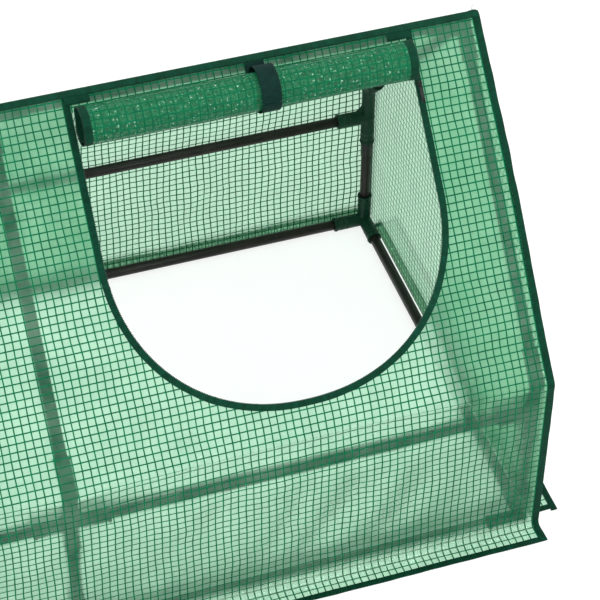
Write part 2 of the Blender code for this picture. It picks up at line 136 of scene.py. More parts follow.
# ---- how the film hangs ----
SAG_ALL = 0.0025  # over the whole slope
SAG_BAY = 0.0050  # and more between two arches
SAG_SHOULDER = 0.0170  # most of all where the slope turns into the wall
SHOULDER_UP = 0.105  # how far that reaches up the slope
SHOULDER_DOWN = 0.050  # and down the wall
TUBE_STOP = 0.0048  # the eave tube stops the film this far in
TUBE_REACH = 0.022  # near its own height
FREE_SAG = 0.03  # what the film could do elsewhere
SEAM_HOLD = 0.045  # the window's seam holds the ripples down this far out
WALL_CREASE = 0.0050
WALL_SAG = 0.0015
SKIRT_LIFT = 0.0022  # the skirt's edge stands off the ground
SKIRT_WAVE = (0.0030, 0.13)  # height and size of its waves
RIPPLES = ((0.0030, 0.13, 0), (0.0015, 0.05, 1))  # height, size and seed
DRIFTS = ((0.0030, 0.085, 11), (0.0012, 0.03, 12))
DRIFT_EDGE = 0.05  # the weave is straight at a seam and free from here
EDGE_BULGE = 0.0050  # a gable's edge bows out this much along X
EDGE_REACH = 0.16  # and takes this much of the slope's film with it
GABLE_SAG = 0.0022


def smooth(value, low, high):
    """0 below low, 1 above high, and a soft step between."""
    part = min(max((value - low) / (high - low), 0.0), 1.0)
    return part * part * (3 - 2 * part)


def section(v):
    """Distance out from the middle plane, height, and the outward normal, at a distance from the ridge."""
    if v < V_SLOPE:
        angle = v / OFFSET
        return OFFSET * sin(angle), RIDGE_Z + OFFSET * cos(angle), sin(angle), cos(angle)
    if v < V_BOW:
        s = v - V_SLOPE
        return (s * cos(SLOPE) + OFFSET * sin(SLOPE), RIDGE_Z - s * sin(SLOPE) + OFFSET * cos(SLOPE),
                sin(SLOPE), cos(SLOPE))
    if v < V_WALL:
        angle = SLOPE + (v - V_BOW) / OFFSET
        return HALF + OFFSET * sin(angle), SHOULDER_Z + OFFSET * cos(angle), sin(angle), cos(angle)
    if v < V_BEND:
        return WALL_Y, SHOULDER_Z - (v - V_WALL), 1.0, 0.0
    if v < V_FLAT:
        angle = (v - V_BEND) / BEND
        return WALL_Y + BEND * (1 - cos(angle)), FLOOR + BEND * (1 - sin(angle)), cos(angle), sin(angle)
    return WALL_Y + BEND + v - V_FLAT, FLOOR, 0.0, 1.0


def rounded(share, radius):
    """Reach of the U's round bottom across, at a share of its radius down, or the other way round."""
    return radius * max(1 - share ** WINDOW_FULLNESS, 0.0) ** (1 / WINDOW_FULLNESS)


def window_half_width(s):
    """Half width of the window at a place along the slope, or 0 outside it."""
    if not WINDOW_TOP <= s <= WINDOW_ROUND + WINDOW_R:
        return 0.0
    return rounded(max(s - WINDOW_ROUND, 0.0) / WINDOW_R, WINDOW_R)


def window_distance(x, s):
    """Rough distance from the window's U, inside or outside."""
    across, down = abs(abs(x) - WINDOW_X), max(s - WINDOW_ROUND, 0.0)
    return abs((across ** WINDOW_FULLNESS + down ** WINDOW_FULLNESS) ** (1 / WINDOW_FULLNESS) - WINDOW_R)


def wave(x, v, size, seed):
    return noise.noise(Vector((x / size, v / size, SEED + seed)))


def waves(x, v, layers):
    return sum(height * wave(x, v, size, seed) for height, size, seed in layers)


def skirt_lift(along, seed):
    height, size = SKIRT_WAVE
    return SKIRT_LIFT + height * wave(along, 0, size, seed)


def sag(x, v, side):
    """How far the film stands out (+) or hangs in (-) from its taut place between the arches."""
    bay = sin(pi * min(abs(x) / BAY, 1.0))
    held = 1.0
    if side < 0:
        held = 1 - exp(-(window_distance(x, v - V_SLOPE) / SEAM_HOLD) ** 2)
    along = sin(pi * min(max((v - V_SLOPE) / SLOPE_LENGTH, 0.0), 1.0))
    shoulder = exp(-((v - V_WALL) / (SHOULDER_UP if v < V_WALL else SHOULDER_DOWN)) ** 2)
    depth = -SAG_ALL * along - bay ** 0.8 * (SAG_BAY * along + SAG_SHOULDER * shoulder)
    depth += waves(x, v, RIPPLES) * min(1.0, 1.6 * along + shoulder) * held * (0.35 + 0.65 * bay)
    if v > V_WALL:
        down = min(max((v - V_WALL) / (V_BEND - V_WALL), 0.0), 1.0)
        crease = (wave(x + 0.55 * v, 0.35 * v, 0.08, 2)
                  + 0.5 * wave(x - 0.3 * v, 0.2 * v, 0.04, 9))
        depth += bay ** 0.5 * sin(pi * down) * (WALL_CREASE * crease - WALL_SAG)
    if v > V_BOW:
        at_tube = exp(-((v - V_WALL - NECK) / TUBE_REACH) ** 4)
        depth = max(depth, -TUBE_STOP - FREE_SAG * (1 - at_tube))
    on_skirt = smooth(v, V_FLAT - BEND, V_EDGE)
    return depth * (1 - smooth(v, V_BEND - 0.03, V_BEND)) + on_skirt * skirt_lift(x, 3 + side)


def drift(x, v, side):
    """The weave wanders a little sideways, but not at a seam."""
    edge = smooth(SHEET_X - abs(x), 0.0, DRIFT_EDGE)
    if side < 0:
        edge *= smooth(abs(x), 0.0, DRIFT_EDGE) * smooth(window_distance(x, v - V_SLOPE), 0.0, DRIFT_EDGE)
    return edge * waves(x, v, DRIFTS)


def edge_bulge(v):
    """How far a gable edge stands out along X, at a distance from the ridge."""
    return EDGE_BULGE * sin(pi * min(max((v - V_SLOPE) / (SLOPE_LENGTH * 0.9), 0.0), 1.0)) ** 1.3


def cover(x, v, h=0.0, side=-1):
    """A point of the cover: x along the ridge, v down from the ridge, h out from the film's middle."""
    if v < 0:
        side, v = -side, -v
    y, z, ny, nz = section(v)
    out = h + sag(x, v, side)
    x += drift(x, v, side)
    near = smooth(abs(x), SHEET_X - EDGE_REACH, SHEET_X)
    bulge = edge_bulge(v) * near * (1 if x > 0 else -1)
    return Vector((x + bulge, side * (y + out * ny), max(z + out * nz, LOWEST)))


def gable_half_width(z):
    if z > RIDGE_Z + OFFSET * cos(SLOPE):
        return sqrt(max(OFFSET ** 2 - (z - RIDGE_Z) ** 2, 0.0))
    s = (RIDGE_Z + OFFSET * cos(SLOPE) - z) / sin(SLOPE)
    return min(s * cos(SLOPE) + OFFSET * sin(SLOPE), WALL_Y)


def gable(y, w, h=0.0, side=1):
    """A point of a gable: w is up the wall from the ground bend, and below 0 out along the skirt."""
    if w < 0:
        turned = min(-w / BEND, pi / 2)
        flat = max(-w - BEND * pi / 2, 0.0)
        lift = smooth(flat, 0.0, SIDE_SKIRT) * skirt_lift(y, 8 + side)
        x = GABLE_X + BEND * (1 - cos(turned)) + flat + h * cos(turned)
        z = FLOOR + BEND * (1 - sin(turned)) + h * sin(turned) + lift
        return Vector((side * x, y, max(z, LOWEST)))
    z = w + BEND + FLOOR
    half = gable_half_width(z)
    inside = half - abs(y)
    s = (RIDGE_Z + OFFSET * cos(SLOPE) - z) / sin(SLOPE)
    bulge = edge_bulge(V_SLOPE + s) * exp(-max(inside, 0.0) / 0.07) if s > 0 else 0.0
    slack = smooth(inside, 0.0, 0.10) * smooth(w, 0.0, 0.12)
    hang = slack * GABLE_SAG * (wave(y, z, 0.10, 5) - 1)
    return Vector((side * (GABLE_X + h + bulge + hang), y, z))


# ---- the rolled flap: a straight tail behind the roll, then a spiral ----
def slope_point(x, s, h):
    """A point over the front slope: s down from the ridge, h out from the taut film's middle."""
    out = OFFSET + h
    return Vector((x, -s * cos(SLOPE) - out * sin(SLOPE), RIDGE_Z - s * sin(SLOPE) + out * cos(SLOPE)))


def rolled(x, q, h=0.0):
    """A point of the rolled flap: x across, q down from its seam in the flat cut, h out from the film."""
    if q <= ROLL_TAIL:
        u = q * cos(ROLL_WAY) + h * sin(ROLL_WAY)
        n = q * sin(ROLL_WAY) - h * cos(ROLL_WAY)
        blend = q / ROLL_TAIL
        angle = ROLL_WAY - pi / 2
    else:
        inward = ROLL_R - sqrt(max(ROLL_R ** 2 - 2 * ROLL_CLOSING * (q - ROLL_TAIL), 0.0))
        radius = ROLL_R - inward - h
        angle = ROLL_WAY + pi / 2 - inward / ROLL_CLOSING
        u, n = ROLL_CENTRE.x + radius * cos(angle), ROLL_CENTRE.y + radius * sin(angle)
        blend = 1.0
    ease = blend * hypot(u - ROLL_CENTRE.x, n - ROLL_CENTRE.y) / ROLL_R
    swell = ease * (0.0022 * noise.noise(Vector((x * 7, cos(angle) * 0.8, sin(angle) * 0.8))) - 0.0006)
    droop = -0.0014 * blend * (1 - (x / WINDOW_R) ** 2)
    u += swell * cos(angle) + droop
    n += swell * sin(angle)
    gather = ROLL_GATHER + 0.006 * noise.noise(Vector((q * 14, 3.7 if x > 0 else 1.3, 0))) * blend
    return slope_point(WINDOW_X + x * gather + ROLL_SHIFT * blend, HINGE - u, n)


# ---- materials ----
def node(tree, kind, values=None, **settings):
    made = tree.nodes.new(f"ShaderNode{kind}")
    for name, value in settings.items():
        setattr(made, name, value)
    for name, value in (values or {}).items():
        made.inputs[name].default_value = value
    return made


def link(source, output, target, into):
    source.id_data.links.new(source.outputs[output], target.inputs[into])


MATERIALS = {}


def new_material(name):
    made = MATERIALS[name] = bpy.data.materials.new(name)
    made.use_nodes = True
    tree = made.node_tree
    return tree, tree.nodes["Principled BSDF"]


def varied(tree, shader, dark, light, scale, roughness, coords):
    """Colour and roughness that drift over the surface between two values."""
    cloud = node(tree, "TexNoise", {"Scale": scale, "Detail": 4.0, "Roughness": 0.6})
    ramp = node(tree, "ValToRGB")
    ramp.color_ramp.elements[0].position = 0.32
    ramp.color_ramp.elements[1].position = 0.68
    ramp.color_ramp.elements[0].color = (*dark, 1)
    ramp.color_ramp.elements[1].color = (*light, 1)
    spread = node(tree, "MapRange", {"To Min": roughness[0], "To Max": roughness[1]})
    link(*coords, cloud, "Vector")
    link(cloud, "Fac", ramp, "Fac")
    link(ramp, "Color", shader, "Base Color")
    link(cloud, "Fac", spread, "Value")
    link(spread, "Result", shader, "Roughness")
    return ramp.color_ramp


def bumped(tree, shader, texture, distance, strength):
    bump = node(tree, "Bump", {"Distance": distance, "Strength": strength})
    link(texture, "Fac", bump, "Height")
    link(bump, "Normal", shader, "Normal")


def solid_material(name, dark, light, scale, roughness, grain, metallic=0.0, depth=0.0003, specular=0.25):
    """A moulded, painted or metal surface. scale is of its drifting colour, and grain of its bumps."""
    tree, shader = new_material(name)
    coords = node(tree, "TexCoord"), "Object"
    varied(tree, shader, dark, light, scale, roughness, coords)
    texture = node(tree, "TexNoise", {"Scale": grain, "Detail": 3.0})
    link(*coords, texture, "Vector")
    bumped(tree, shader, texture, depth, 0.35)
    shader.inputs["Metallic"].default_value = metallic
    shader.inputs["Specular IOR Level"].default_value = specular


def woven_material(name, dark, light, rib):
    """A woven tape or ribbon. The UV map is in metres: x along the tape and y across it."""
    tree, shader = new_material(name)
    coords = node(tree, "UVMap", uv_map="UVMap"), "UV"
    varied(tree, shader, dark, light, 120.0, (0.62, 0.86), coords)
    ribs = node(tree, "TexWave", {"Scale": 1 / rib, "Distortion": 0.6, "Detail": 1.0},
                bands_direction="X")
    link(*coords, ribs, "Vector")
    bumped(tree, shader, ribs, 0.0004, 0.7)
    shader.inputs["Specular IOR Level"].default_value = 0.12


def film_material(name, dark, light, tint, clear, body, crinkle, cloud, painted_glint=None):
    """Milky film. A share of the light (body) bounces off as a glossy green. Of the rest, the clear
    share passes straight through and the remainder is scattered a little on the way. A glint colour
    is painted highlight: pale specks of it are mixed into the base colour where the colour noise peaks."""
    tree, shader = new_material(name)
    coords = node(tree, "TexCoord"), "Object"
    colours = varied(tree, shader, dark, light, cloud, (0.03, 0.22), coords)
    # Painted highlight: the top of the colour ramp turns pale, giving small specks that stand in for glints.
    if painted_glint:
        colours.elements[1].position = 0.60
        colours.elements.new(0.635).color = (*light, 1)
        colours.elements.new(0.670).color = (*painted_glint, 1)
    shader.inputs["IOR"].default_value = 1.52
    creases = node(tree, "TexNoise", {"Scale": crinkle, "Detail": 5.0, "Roughness": 0.65})
    link(*coords, creases, "Vector")
    bumped(tree, shader, creases, 0.006, 1.0)
    blur = node(tree, "BsdfRefraction", {"Color": (*tint, 1), "Roughness": 0.33, "IOR": 1.22})
    straight = node(tree, "BsdfTransparent", {"Color": (*tint, 1)})
    through = node(tree, "MixShader", {"Fac": 1 - clear})
    mixed = node(tree, "MixShader", {"Fac": body})
    link(straight, "BSDF", through, 1)
    link(blur, "BSDF", through, 2)
    link(through, "Shader", mixed, 1)
    link(shader, "BSDF", mixed, 2)
    link(mixed, "Shader", tree.nodes["Material Output"], "Surface")


film_material("film", (0.04, 0.24, 0.12), (0.26, 0.52, 0.35), (0.57, 0.84, 0.65),
              clear=0.26, body=0.26, crinkle=34.0, cloud=13.6)
# The rolled film's last colour is painted highlight: pale specks that stand in for glints on the roll.
film_material("rolled_film", (0.0, 0.055, 0.018), (0.010, 0.235, 0.092), (0.03, 0.45, 0.18),
              clear=0.10, body=0.74, crinkle=260.0, cloud=210.0, painted_glint=(0.62, 0.92, 0.76))
solid_material("thread", (0.0, 0.095, 0.038), (0.001, 0.155, 0.064), 30.0, (0.35, 0.5), 900.0, specular=0.04)
solid_material("tube", (0.010, 0.008, 0.007), (0.020, 0.016, 0.014), 16.0, (0.28, 0.46), 700.0, metallic=0.1)
solid_material("connector", (0.002, 0.026, 0.014), (0.006, 0.042, 0.024), 22.0, (0.38, 0.55), 600.0,
               specular=0.2)
solid_material("collar", (0.004, 0.005, 0.005), (0.010, 0.011, 0.011), 40.0, (0.30, 0.50), 800.0)
woven_material("binding", (0.0006, 0.030, 0.014), (0.0016, 0.058, 0.030), 0.0011)
solid_material("stitch", (0.001, 0.055, 0.030), (0.004, 0.090, 0.050), 60.0, (0.5, 0.7), 2000.0, specular=0.1)
woven_material("strap", (0.0012, 0.018, 0.013), (0.0030, 0.030, 0.024), 0.0009)
solid_material("zip", (0.002, 0.018, 0.011), (0.005, 0.034, 0.022), 60.0, (0.25, 0.42), 900.0, depth=0.0001)
solid_material("slider", (0.006, 0.009, 0.008), (0.018, 0.022, 0.020), 90.0, (0.20, 0.38), 900.0,
               metallic=0.7, depth=0.0001)
solid_material("floor", (0.30, 0.30, 0.30), (0.34, 0.34, 0.34), 1.2, (0.7, 0.8), 60.0, specular=0.0)


# ---- mesh helpers ----
def in_scene(name, data):
    made = bpy.data.objects.new(name, data)
    bpy.context.scene.collection.objects.link(made)
    return made


def add_piece(name, points, faces, materials, body, replaced=(), uvs=None, kinds=None, flat=False):
    """An object from points and faces. kinds gives each face's material, and uvs one pair a corner."""
    mesh = bpy.data.meshes.new(name)
    mesh.from_pydata(points, [], faces)
    for material in materials:
        mesh.materials.append(MATERIALS[material])
    if kinds:
        mesh.polygons.foreach_set("material_index", kinds)
    if uvs:
        layer = mesh.uv_layers.new(name="UVMap")
        layer.data.foreach_set("uv", [number for pair in uvs for number in pair])
    if not flat:
        mesh.shade_smooth()
        mesh.set_sharp_from_angle(angle=0.9)
    mesh.validate()
    made = in_scene(name, mesh)
    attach(made, body)
    if replaced:
        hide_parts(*replaced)
    return made


def triangle_area(a, b, c):
    return abs((b[0] - a[0]) * (c[1] - a[1]) - (c[0] - a[0]) * (b[1] - a[1])) / 2


def cut_area(cut, faces):
    """Area of the flat pattern, before it is laid."""
    total = 0.0
    for face in faces:
        first, *others = [cut[i] for i in face]
        total += sum(triangle_area(first, a, b) for a, b in zip(others, others[1:]))
    return total


def rows_cut(rows):
    """Points and quads of a flat pattern given as rows of equal length."""
    width = len(rows[0])
    faces = [(r * width + c, r * width + c + 1, (r + 1) * width + c + 1, (r + 1) * width + c)
             for r in range(len(rows) - 1) for c in range(width - 1)]
    return [point for row in rows for point in row], faces


def steps(low, high, size):
    count = max(1, ceil((high - low) / size - 1e-6))
    return [low + (high - low) * i / count for i in range(count + 1)]


def grid_stops(low, high):
    """Multiples of the reinforcing pitch strictly between two values."""
    first = ceil(low / PITCH + 0.02)
    return [i * PITCH for i in range(first, int(high / PITCH - 0.02) + 1)] if high > low else []


def bar(first, rings, size=4):
    """Faces of a closed bar whose rings of points follow each other from a first index."""
    faces = []
    for low in range(first, first + size * (rings - 1), size):
        for k in range(size):
            j = (k + 1) % size
            faces.append((low + k, low + j, low + size + j, low + size + k))
    last = first + size * (rings - 1)
    return faces + [tuple(range(first + size - 1, first - 1, -1)), tuple(range(last, last + size))]


def scrim(name, runs, lay, body):
    """Reinforcing threads: each run is a list of pattern points and the pattern direction across it."""
    points, faces = [], []
    for run, (across_a, across_b) in runs:
        faces += bar(len(points), len(run))
        for a, b in run:
            here = lay(a, b)
            side = lay(a + across_a * THREAD_WIDTH / 2, b + across_b * THREAD_WIDTH / 2) - here
            out = lay(a, b, THREAD_THICK / 2) - here
            points += [here + side, here + out, here - side, here - out]
    return add_piece(name, points, faces, ["thread"], body, flat=True)


def distances(curve):
    """How far along a curve each of its pattern points is."""
    reach = [0.0]
    for here, after in zip(curve, curve[1:]):
        reach.append(reach[-1] + hypot(after[0] - here[0], after[1] - here[1]))
    return reach


def tape(name, curve, lay, body, width=BINDING, thick=TAPE_THICK, replaced=(), wavy=0.0006):
    """A folded edge tape. curve holds pattern points with the pattern direction across the tape."""
    sides = 12
    points, uvs = [], []
    alongs = distances(curve)
    for (a, b, da, db), reach in zip(curve, alongs):
        edge = wavy * noise.noise(Vector((reach * 22, len(name), 0)))
        puff = 1 + 0.16 * noise.noise(Vector((reach * 60, 5, len(name))))
        for k in range(sides):
            angle = 2 * pi * k / sides
            across = cos(angle)
            reach_out = width / 2 + (edge if across > 0 else 0)
            w = width / 2 + reach_out * (abs(across) ** 0.7) * (1 if across > 0 else -1)
            groove = 1 - 0.45 * exp(-((w - SEAM_LINE * width) / GROOVE) ** 2)
            h = thick / 2 * puff * groove * (abs(sin(angle)) ** 0.6) * (1 if sin(angle) > 0 else -1)
            points.append(lay(a + da * w, b + db * w, h))
    for near, far in zip(alongs, alongs[1:]):
        for k in range(sides):
            low, high = width * k / sides, width * (k + 1) / sides
            uvs += [(near, low), (far, low), (far, high), (near, high)]
    faces = [face[:1] + face[:0:-1] for face in bar(0, len(curve), sides)]
    stitches = stitch_row(curve, alongs, lay, width * SEAM_LINE, thick / 2, points)
    uvs += [(0.0, 0.0)] * (2 * sides + 3 * len(stitches))
    kinds = [0] * len(faces) + [1] * len(stitches)
    return add_piece(name, points, faces + stitches, ["binding", "stitch"], body, replaced,
                     uvs, kinds)


def along_curve(curve, alongs, at, hint):
    """Pattern point and across direction at a distance along a curve, searched from a hint."""
    while hint < len(alongs) - 2 and alongs[hint + 1] < at:
        hint += 1
    span = max(alongs[hint + 1] - alongs[hint], 1e-9)
    part = (at - alongs[hint]) / span
    start, end = curve[hint], curve[hint + 1]
    return [start[i] + (end[i] - start[i]) * part for i in range(4)], hint


def stitch_row(curve, alongs, lay, inset, height, points):
    """Short thread stitches on both faces of a tape. Their points join the tape's."""
    pitch, length, wide, high = 0.0036, 0.0026, 0.0003, 0.00022
    faces = []
    hint, at = 0, pitch
    while at < alongs[-1] - pitch:
        (a, b, da, db), hint = along_curve(curve, alongs, at, hint)
        (a2, b2, _, _), hint = along_curve(curve, alongs, at + length, hint)
        mid_a, mid_b = (a + a2) / 2 + da * inset, (b + b2) / 2 + db * inset
        for side in (1, -1):
            first = len(points)
            low, top = side * 0.45 * height, side * (height * 0.62 + high)
            points += [lay(a + da * inset, b + db * inset, low), lay(a2 + da * inset, b2 + db * inset, low),
                       lay(mid_a + da * wide, mid_b + db * wide, low),
                       lay(mid_a - da * wide, mid_b - db * wide, low), lay(mid_a, mid_b, top)]
            for face in ((0, 2, 4), (2, 1, 4), (1, 3, 4), (3, 0, 4), (0, 3, 2), (1, 2, 3)):
                faces.append(tuple(first + i for i in (face if side > 0 else face[::-1])))
        at += pitch
    return faces


def teeth(name, curve, lay, body):
    """A row of zip teeth along pattern points, as far inside the edge as outside it."""
    points, faces = [], []
    alongs = distances(curve)
    hint, at = 0, ZIP_PITCH
    half, thick = 0.0009, 0.0009
    while at < alongs[-1] - ZIP_PITCH:
        (a, b, da, db), hint = along_curve(curve, alongs, at, hint)
        norm = hypot(da, db)
        ta, tb = -db / norm, da / norm
        faces += bar(len(points), 3)
        for w, size in ((-TOOTH, 0.7), (0.0, 1.0), (TOOTH, 0.75)):
            for sa, sh in ((-1, -1), (1, -1), (1, 1), (-1, 1)):
                points.append(lay(a + da * w + ta * half * size * sa, b + db * w + tb * half * size * sa,
                                  thick * size * sh))
        at += ZIP_PITCH
    return add_piece(name, points, faces, ["zip"], body, flat=True)


# ---- frame: rounder tubes, sleeves and hubs than the CAD's facets ----
UP = Vector((0, 0, 1))


def ring(radius, height, sides):
    angles = [2 * pi * i / sides for i in range(sides)]
    return [(radius * cos(angle), radius * sin(angle), height) for angle in angles]


def lathe(profile, sides=40):
    """A turned bmesh about Z from (radius, height) points. A profile that starts off the axis is a ring."""
    bm = bmesh.new()
    rings = []
    for radius, height in profile:
        if radius == 0:
            rings.append([bm.verts.new((0, 0, height))] * sides)
        else:
            rings.append([bm.verts.new(p) for p in ring(radius, height, sides)])
    pairs = list(zip(rings, rings[1:]))
    if profile[0][0] != 0:
        pairs.append((rings[-1], rings[0]))
    for low, high in pairs:
        for i in range(sides):
            j = (i + 1) % sides
            corners = []
            for vert in (low[i], low[j], high[j], high[i]):
                if vert not in corners:
                    corners.append(vert)
            bm.faces.new(corners)
    bmesh.ops.recalc_face_normals(bm, faces=bm.faces)
    return bm


def mesh_points(bm):
    bm.verts.index_update()
    points = [v.co.copy() for v in bm.verts]
    faces = [tuple(v.index for v in face.verts) for face in bm.faces]
    return points, faces


def placed(bm, start, way):
    points, faces = mesh_points(bm)
    turn = UP.rotation_difference(way).to_matrix()
    return [turn @ p + start for p in points], faces


def add_tube(name, start, end):
    """A steel tube with rolled-in ends, between two joint centres."""
    start, end = Vector(start), Vector(end)
    way = (end - start).normalized()
    length = (end - start).length - 2 * TUBE_START
    wall, curl = 0.0012, 0.0006
    inner = TUBE_R - wall
    lip = curl / 2
    profile = [(inner, lip), (inner + curl, 0), (TUBE_R - curl, 0), (TUBE_R, curl), (TUBE_R, length - curl),
               (TUBE_R - curl, length), (inner + curl, length), (inner, length - lip)]
    points, faces = placed(lathe(profile), start + way * TUBE_START, way)
    add_piece(f"{name}_tube", points, faces, ["tube"], "root", [name])


def add_collar(name, x, y):
    """The black stop ring on a post, right under the eave connector's lower sleeve."""
    low, high = box(name)
    radius = (high.x - low.x) / 2
    height = 0.036
    top = EAVE_Z - SLEEVE - 0.0003
    profile = [(TUBE_R, 0), (radius - 0.0012, 0), (radius - 0.0008, 0.0006),
               (radius - 0.0008, height - 0.007), (radius, height - 0.006), (radius, height - 0.0008),
               (radius - 0.0006, height), (TUBE_R, height)]
    points, faces = placed(lathe(profile), Vector((x, y, top - height)), UP)
    add_piece(f"{name}_collar", points, faces, ["collar"], "root")


def sleeve(way):
    """A blind sleeve with a rolled rim and two shallow ribs, along a direction from the joint centre."""
    radius, rim, mouth, bore = 0.0145, 0.0013, SLEEVE, TUBE_R + 0.0003
    profile = [(0, ROOT), (radius, ROOT)]
    for rib in (0.040, 0.052):
        profile += [(radius, rib), (radius + 0.0004, rib + 0.0006), (radius + 0.0004, rib + 0.0018),
                    (radius, rib + 0.0024)]
    profile += [(radius, mouth - 0.0058), (radius + 0.7 * rim, mouth - 0.0050),
                (radius + rim, mouth - 0.0040), (radius + rim, mouth - 0.0010), (radius + 0.7 * rim, mouth),
                (bore + 0.0004, mouth), (bore, mouth - 0.0006), (bore, 0.027), (0, 0.027)]
    bm = lathe(profile, MOULDED_SIDES)
    turn = UP.rotation_difference(way).to_matrix().to_4x4()
    bmesh.ops.transform(bm, matrix=turn, verts=bm.verts)
    return bm


def joined(first, second):
    """Exact union of two bmeshes."""
    objects = []
    for bm in (first, second):
        mesh = bpy.data.meshes.new("part")
        bm.to_mesh(mesh)
        bm.free()
        objects.append(in_scene("part", mesh))
    modifier = objects[0].modifiers.new("join", "BOOLEAN")
    modifier.operation, modifier.solver, modifier.object = "UNION", "EXACT", objects[1]
    graph = bpy.context.evaluated_depsgraph_get()
    graph.update()
    result = bmesh.new()
    result.from_mesh(objects[0].evaluated_get(graph).to_mesh())
    for made in objects:
        bpy.data.objects.remove(made, do_unlink=True)
    return result


def joint(ways):
    """A hub with a sleeve each way. Each is a touch smaller than the last, so that no faces coincide."""
    body = bmesh.new()
    bmesh.ops.create_uvsphere(body, u_segments=MOULDED_SIDES, v_segments=MOULDED_SIDES // 2, radius=HUB_R,
                              matrix=Matrix.Rotation(0.05, 4, "X"))
    for i, way in enumerate(ways):
        part = sleeve(way)
        bmesh.ops.scale(part, vec=Vector((1, 1, 1)) * (1 - 0.0015 * i), verts=part.verts)
        body = joined(body, part)
    return body


def gusset(way, reach=0.031, thick=0.0042):
    """A web with a hollow edge in the corner between the neck and a sleeve."""
    inset = 0.011
    turns = [pi / 2 * i / 10 for i in range(10, -1, -1)]
    hollow = [(reach * (1 - cos(turn)) + inset, reach * (1 - sin(turn)) + inset) for turn in turns]
    outline = [(0.0, 0.0), (reach + inset, 0.0), *hollow, (0.0, reach + inset)]
    bm = bmesh.new()
    across = way.cross(UP)
    rows = [[bm.verts.new(way * a + Vector((0, 0, b)) + across * side * thick) for a, b in outline]
            for side in (-1, 1)]
    bm.faces.new(rows[0])
    bm.faces.new(rows[1])
    for i in range(len(outline)):
        k = (i + 1) % len(outline)
        bm.faces.new([rows[0][i], rows[0][k], rows[1][k], rows[1][i]])
    bmesh.ops.recalc_face_normals(bm, faces=bm.faces)
    bmesh.ops.triangulate(bm, faces=bm.faces)
    return bm


def connector_shape(ways, slope_way=None):
    """A moulded joint. One with a slope_way has a neck up to a bend, and webs beside the neck."""
    body = joint(ways)
    if slope_way:
        neck = [(0, ROOT), (NECK_R, ROOT), (NECK_R, NECK), (0, NECK)]
        body = joined(body, lathe(neck, MOULDED_SIDES))
        bend = joint([slope_way])
        bmesh.ops.translate(bend, vec=Vector((0, 0, NECK)), verts=bend.verts)
        body = joined(body, bend)
        for way in ways:
            if abs(way.x) > 0.5:
                body = joined(body, gusset(way))
    return mesh_points(body)


def add_connector(name, shape, centre, flip_x, flip_y):
    """A copy of a moulded shape at a joint, mirrored where the flips say so."""
    points, faces = shape
    flipped = flip_x != flip_y
    moved = [Vector((-p.x if flip_x else p.x, -p.y if flip_y else p.y, p.z)) + Vector(centre) for p in points]
    turned = [face[::-1] for face in faces] if flipped else faces
    add_piece(f"{name}_body", moved, turned, ["connector"], "root", [name])


def add_frame():
    along, across = Vector((1, 0, 0)), Vector((0, 1, 0))
    down = Vector((0, -cos(SLOPE), -sin(SLOPE)))
    rear_down = Vector((0, cos(SLOPE), -sin(SLOPE)))
    shapes = {
        "ground_end": connector_shape([along, across, UP]),
        "ground_mid": connector_shape([-along, along, UP]),
        "eave_end": connector_shape([along, -UP], -down),
        "eave_mid": connector_shape([-along, along, -UP], -down),
        "ridge_end": connector_shape([along, down, rear_down]),
        "ridge_mid": connector_shape([-along, along, down, rear_down]),
    }
    arches = {"left": -BAY, "mid": 0.0, "right": BAY}
    for arch, x in arches.items():
        kind, flip_x = ("mid" if arch == "mid" else "end"), arch == "right"
        for side, sign in (("front", -1), ("rear", 1)):
            foot, eave = (x, sign * HALF, GROUND_Z), (x, sign * HALF, EAVE_Z)
            add_tube(f"post_{side}_{arch}", foot, eave)
            add_collar(f"post_{side}_{arch}", x, sign * HALF)
            add_tube(f"rafter_{side}_{arch}", (x, sign * HALF, SHOULDER_Z), (x, 0, RIDGE_Z))
            add_connector(f"ground_connector_{side}_{arch}", shapes[f"ground_{kind}"], foot, flip_x, sign > 0)
            add_connector(f"eave_connector_{side}_{arch}", shapes[f"eave_{kind}"], eave, flip_x, sign > 0)
        add_connector(f"ridge_connector_{arch}", shapes[f"ridge_{kind}"], (x, 0, RIDGE_Z), flip_x, False)
        if arch != "mid":
            add_tube(f"ground_side_{arch}", (x, -HALF, GROUND_Z), (x, HALF, GROUND_Z))
    for bay, x0, x1 in (("left", -BAY, 0.0), ("right", 0.0, BAY)):
        for side, sign in (("front", -1), ("rear", 1)):
            for level, z in (("ground", GROUND_Z), ("eave", EAVE_Z)):
                add_tube(f"{level}_{side}_{bay}", (x0, sign * HALF, z), (x1, sign * HALF, z))
        add_tube(f"ridge_{bay}", (x0, 0, RIDGE_Z), (x1, 0, RIDGE_Z))


# ---- cover ----
def film_piece(name, cut, faces, lay, body, replaced, kind="film"):
    return add_piece(name, [lay(a, b) for a, b in cut], faces, [kind], body, replaced)


def declare(cut, faces):
    size = tuple(max(p[i] for p in cut) - min(p[i] for p in cut) for i in (0, 1))
    cut_area(cut, faces)


def u_outline(radius, top, straight, size):
    """A U's points and the way outwards, down its left leg, round and back up."""
    leg = steps(top, straight, size)
    outline = [(-radius, s, -1.0, 0.0) for s in leg[:-1]]
    count = int(pi * radius / size)
    power = 2 / WINDOW_FULLNESS
    for i in range(count + 1):
        c, d = cos(pi * i / count), sin(pi * i / count)
        x = -radius * (1 if c > 0 else -1) * abs(c) ** power
        outline.append((x, straight + radius * d ** power, -c, d))
    return outline + [(radius, s, 1.0, 0.0) for s in leg[-2::-1]]


def window_outline(sign, size=PITCH / 2, top=WINDOW_TOP):
    """The window's U as pattern points, from its top inner corner, and the way outwards."""
    outline = u_outline(WINDOW_R, top, WINDOW_ROUND, size)
    return [(sign * (WINDOW_X + x), V_SLOPE + s, sign * da, db) for x, s, da, db in outline]


